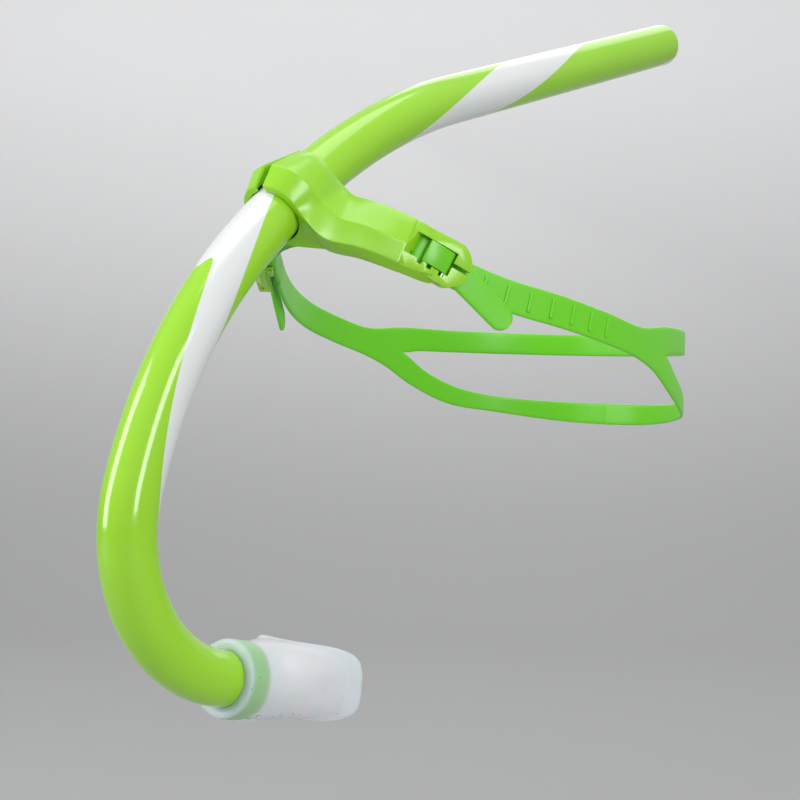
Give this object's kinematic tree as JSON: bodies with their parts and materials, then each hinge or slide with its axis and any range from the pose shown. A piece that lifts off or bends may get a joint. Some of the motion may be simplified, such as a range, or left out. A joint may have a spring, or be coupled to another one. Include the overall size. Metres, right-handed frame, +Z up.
{
  "type": "snorkel tube",
  "caption": "Centre-mount swimming snorkel: curved breathing tube in a forehead bracket with a silicone mouthpiece and an adjustable head strap.",
  "frame": {"origin": "where the forehead pad's middle touches the wearer's forehead, in the plane of symmetry", "axes": "+Z up, the wearer faces -Y, +X is the wearer's left"},
  "size_m": [0.153, 0.3728, 0.3194],
  "materials": {
    "tube_green_white": "glossy moulded tube, lime green with a white spiral stripe",
    "ring_green": "moulded green plastic",
    "mouth_silicone": "translucent milky silicone",
    "bracket_green": "satin injection-moulded plastic",
    "pad_silicone": "soft matt pad",
    "lever_green": "satin injection-moulded plastic",
    "pin_steel": "stainless steel wire",
    "strap_silicone": "smooth silicone with raised cross ribs"
  },
  "bodies": {
    "bracket": {"head_bracket": "bracket_green", "forehead_pad": "pad_silicone", "lever_pin_left": "pin_steel", "lever_pin_right": "pin_steel", "strap_bar_left": "pin_steel", "strap_bar_right": "pin_steel", "head_strap": "strap_silicone"},
    "tube": {"tube": "tube_green_white", "tube_head_bend": "tube_green_white", "tube_face_bend": "tube_green_white", "tube_mouth_bend": "tube_green_white", "coupling_ring": "ring_green"},
    "mouthpiece": {"mouthpiece": "mouth_silicone"},
    "lever_left": {"buckle_lever_left": "lever_green"},
    "lever_right": {"buckle_lever_right": "lever_green"}
  },
  "joints": [
    {"name": "tube_adjust", "type": "hinge", "parent": "bracket", "child": "tube", "pos_m": [0, 0.17962, -0.23343], "axis": [1, 0, 0], "range_deg": [-3.6, 3.6]},
    {"name": "mouthpiece_swivel", "type": "hinge", "parent": "tube", "child": "mouthpiece", "pos_m": [0, -0.04566, -0.16811], "axis": [0, 0.9805, -0.1965], "range_deg": [-30, 30]},
    {"name": "lever_left_lift", "type": "hinge", "parent": "bracket", "child": "lever_left", "pos_m": [0.04826, 0.02134, -0.01191], "axis": [0.2506, 0.3786, 0.891], "range_deg": [0, 25], "stiffness_Nm_per_rad": 0.05, "springref_deg": -17.19},
    {"name": "lever_right_lift", "type": "hinge", "parent": "bracket", "child": "lever_right", "pos_m": [-0.04826, 0.02134, -0.01191], "axis": [0.2506, -0.3786, -0.891], "range_deg": [0, 25], "stiffness_Nm_per_rad": 0.05, "springref_deg": -17.19}
  ]
}
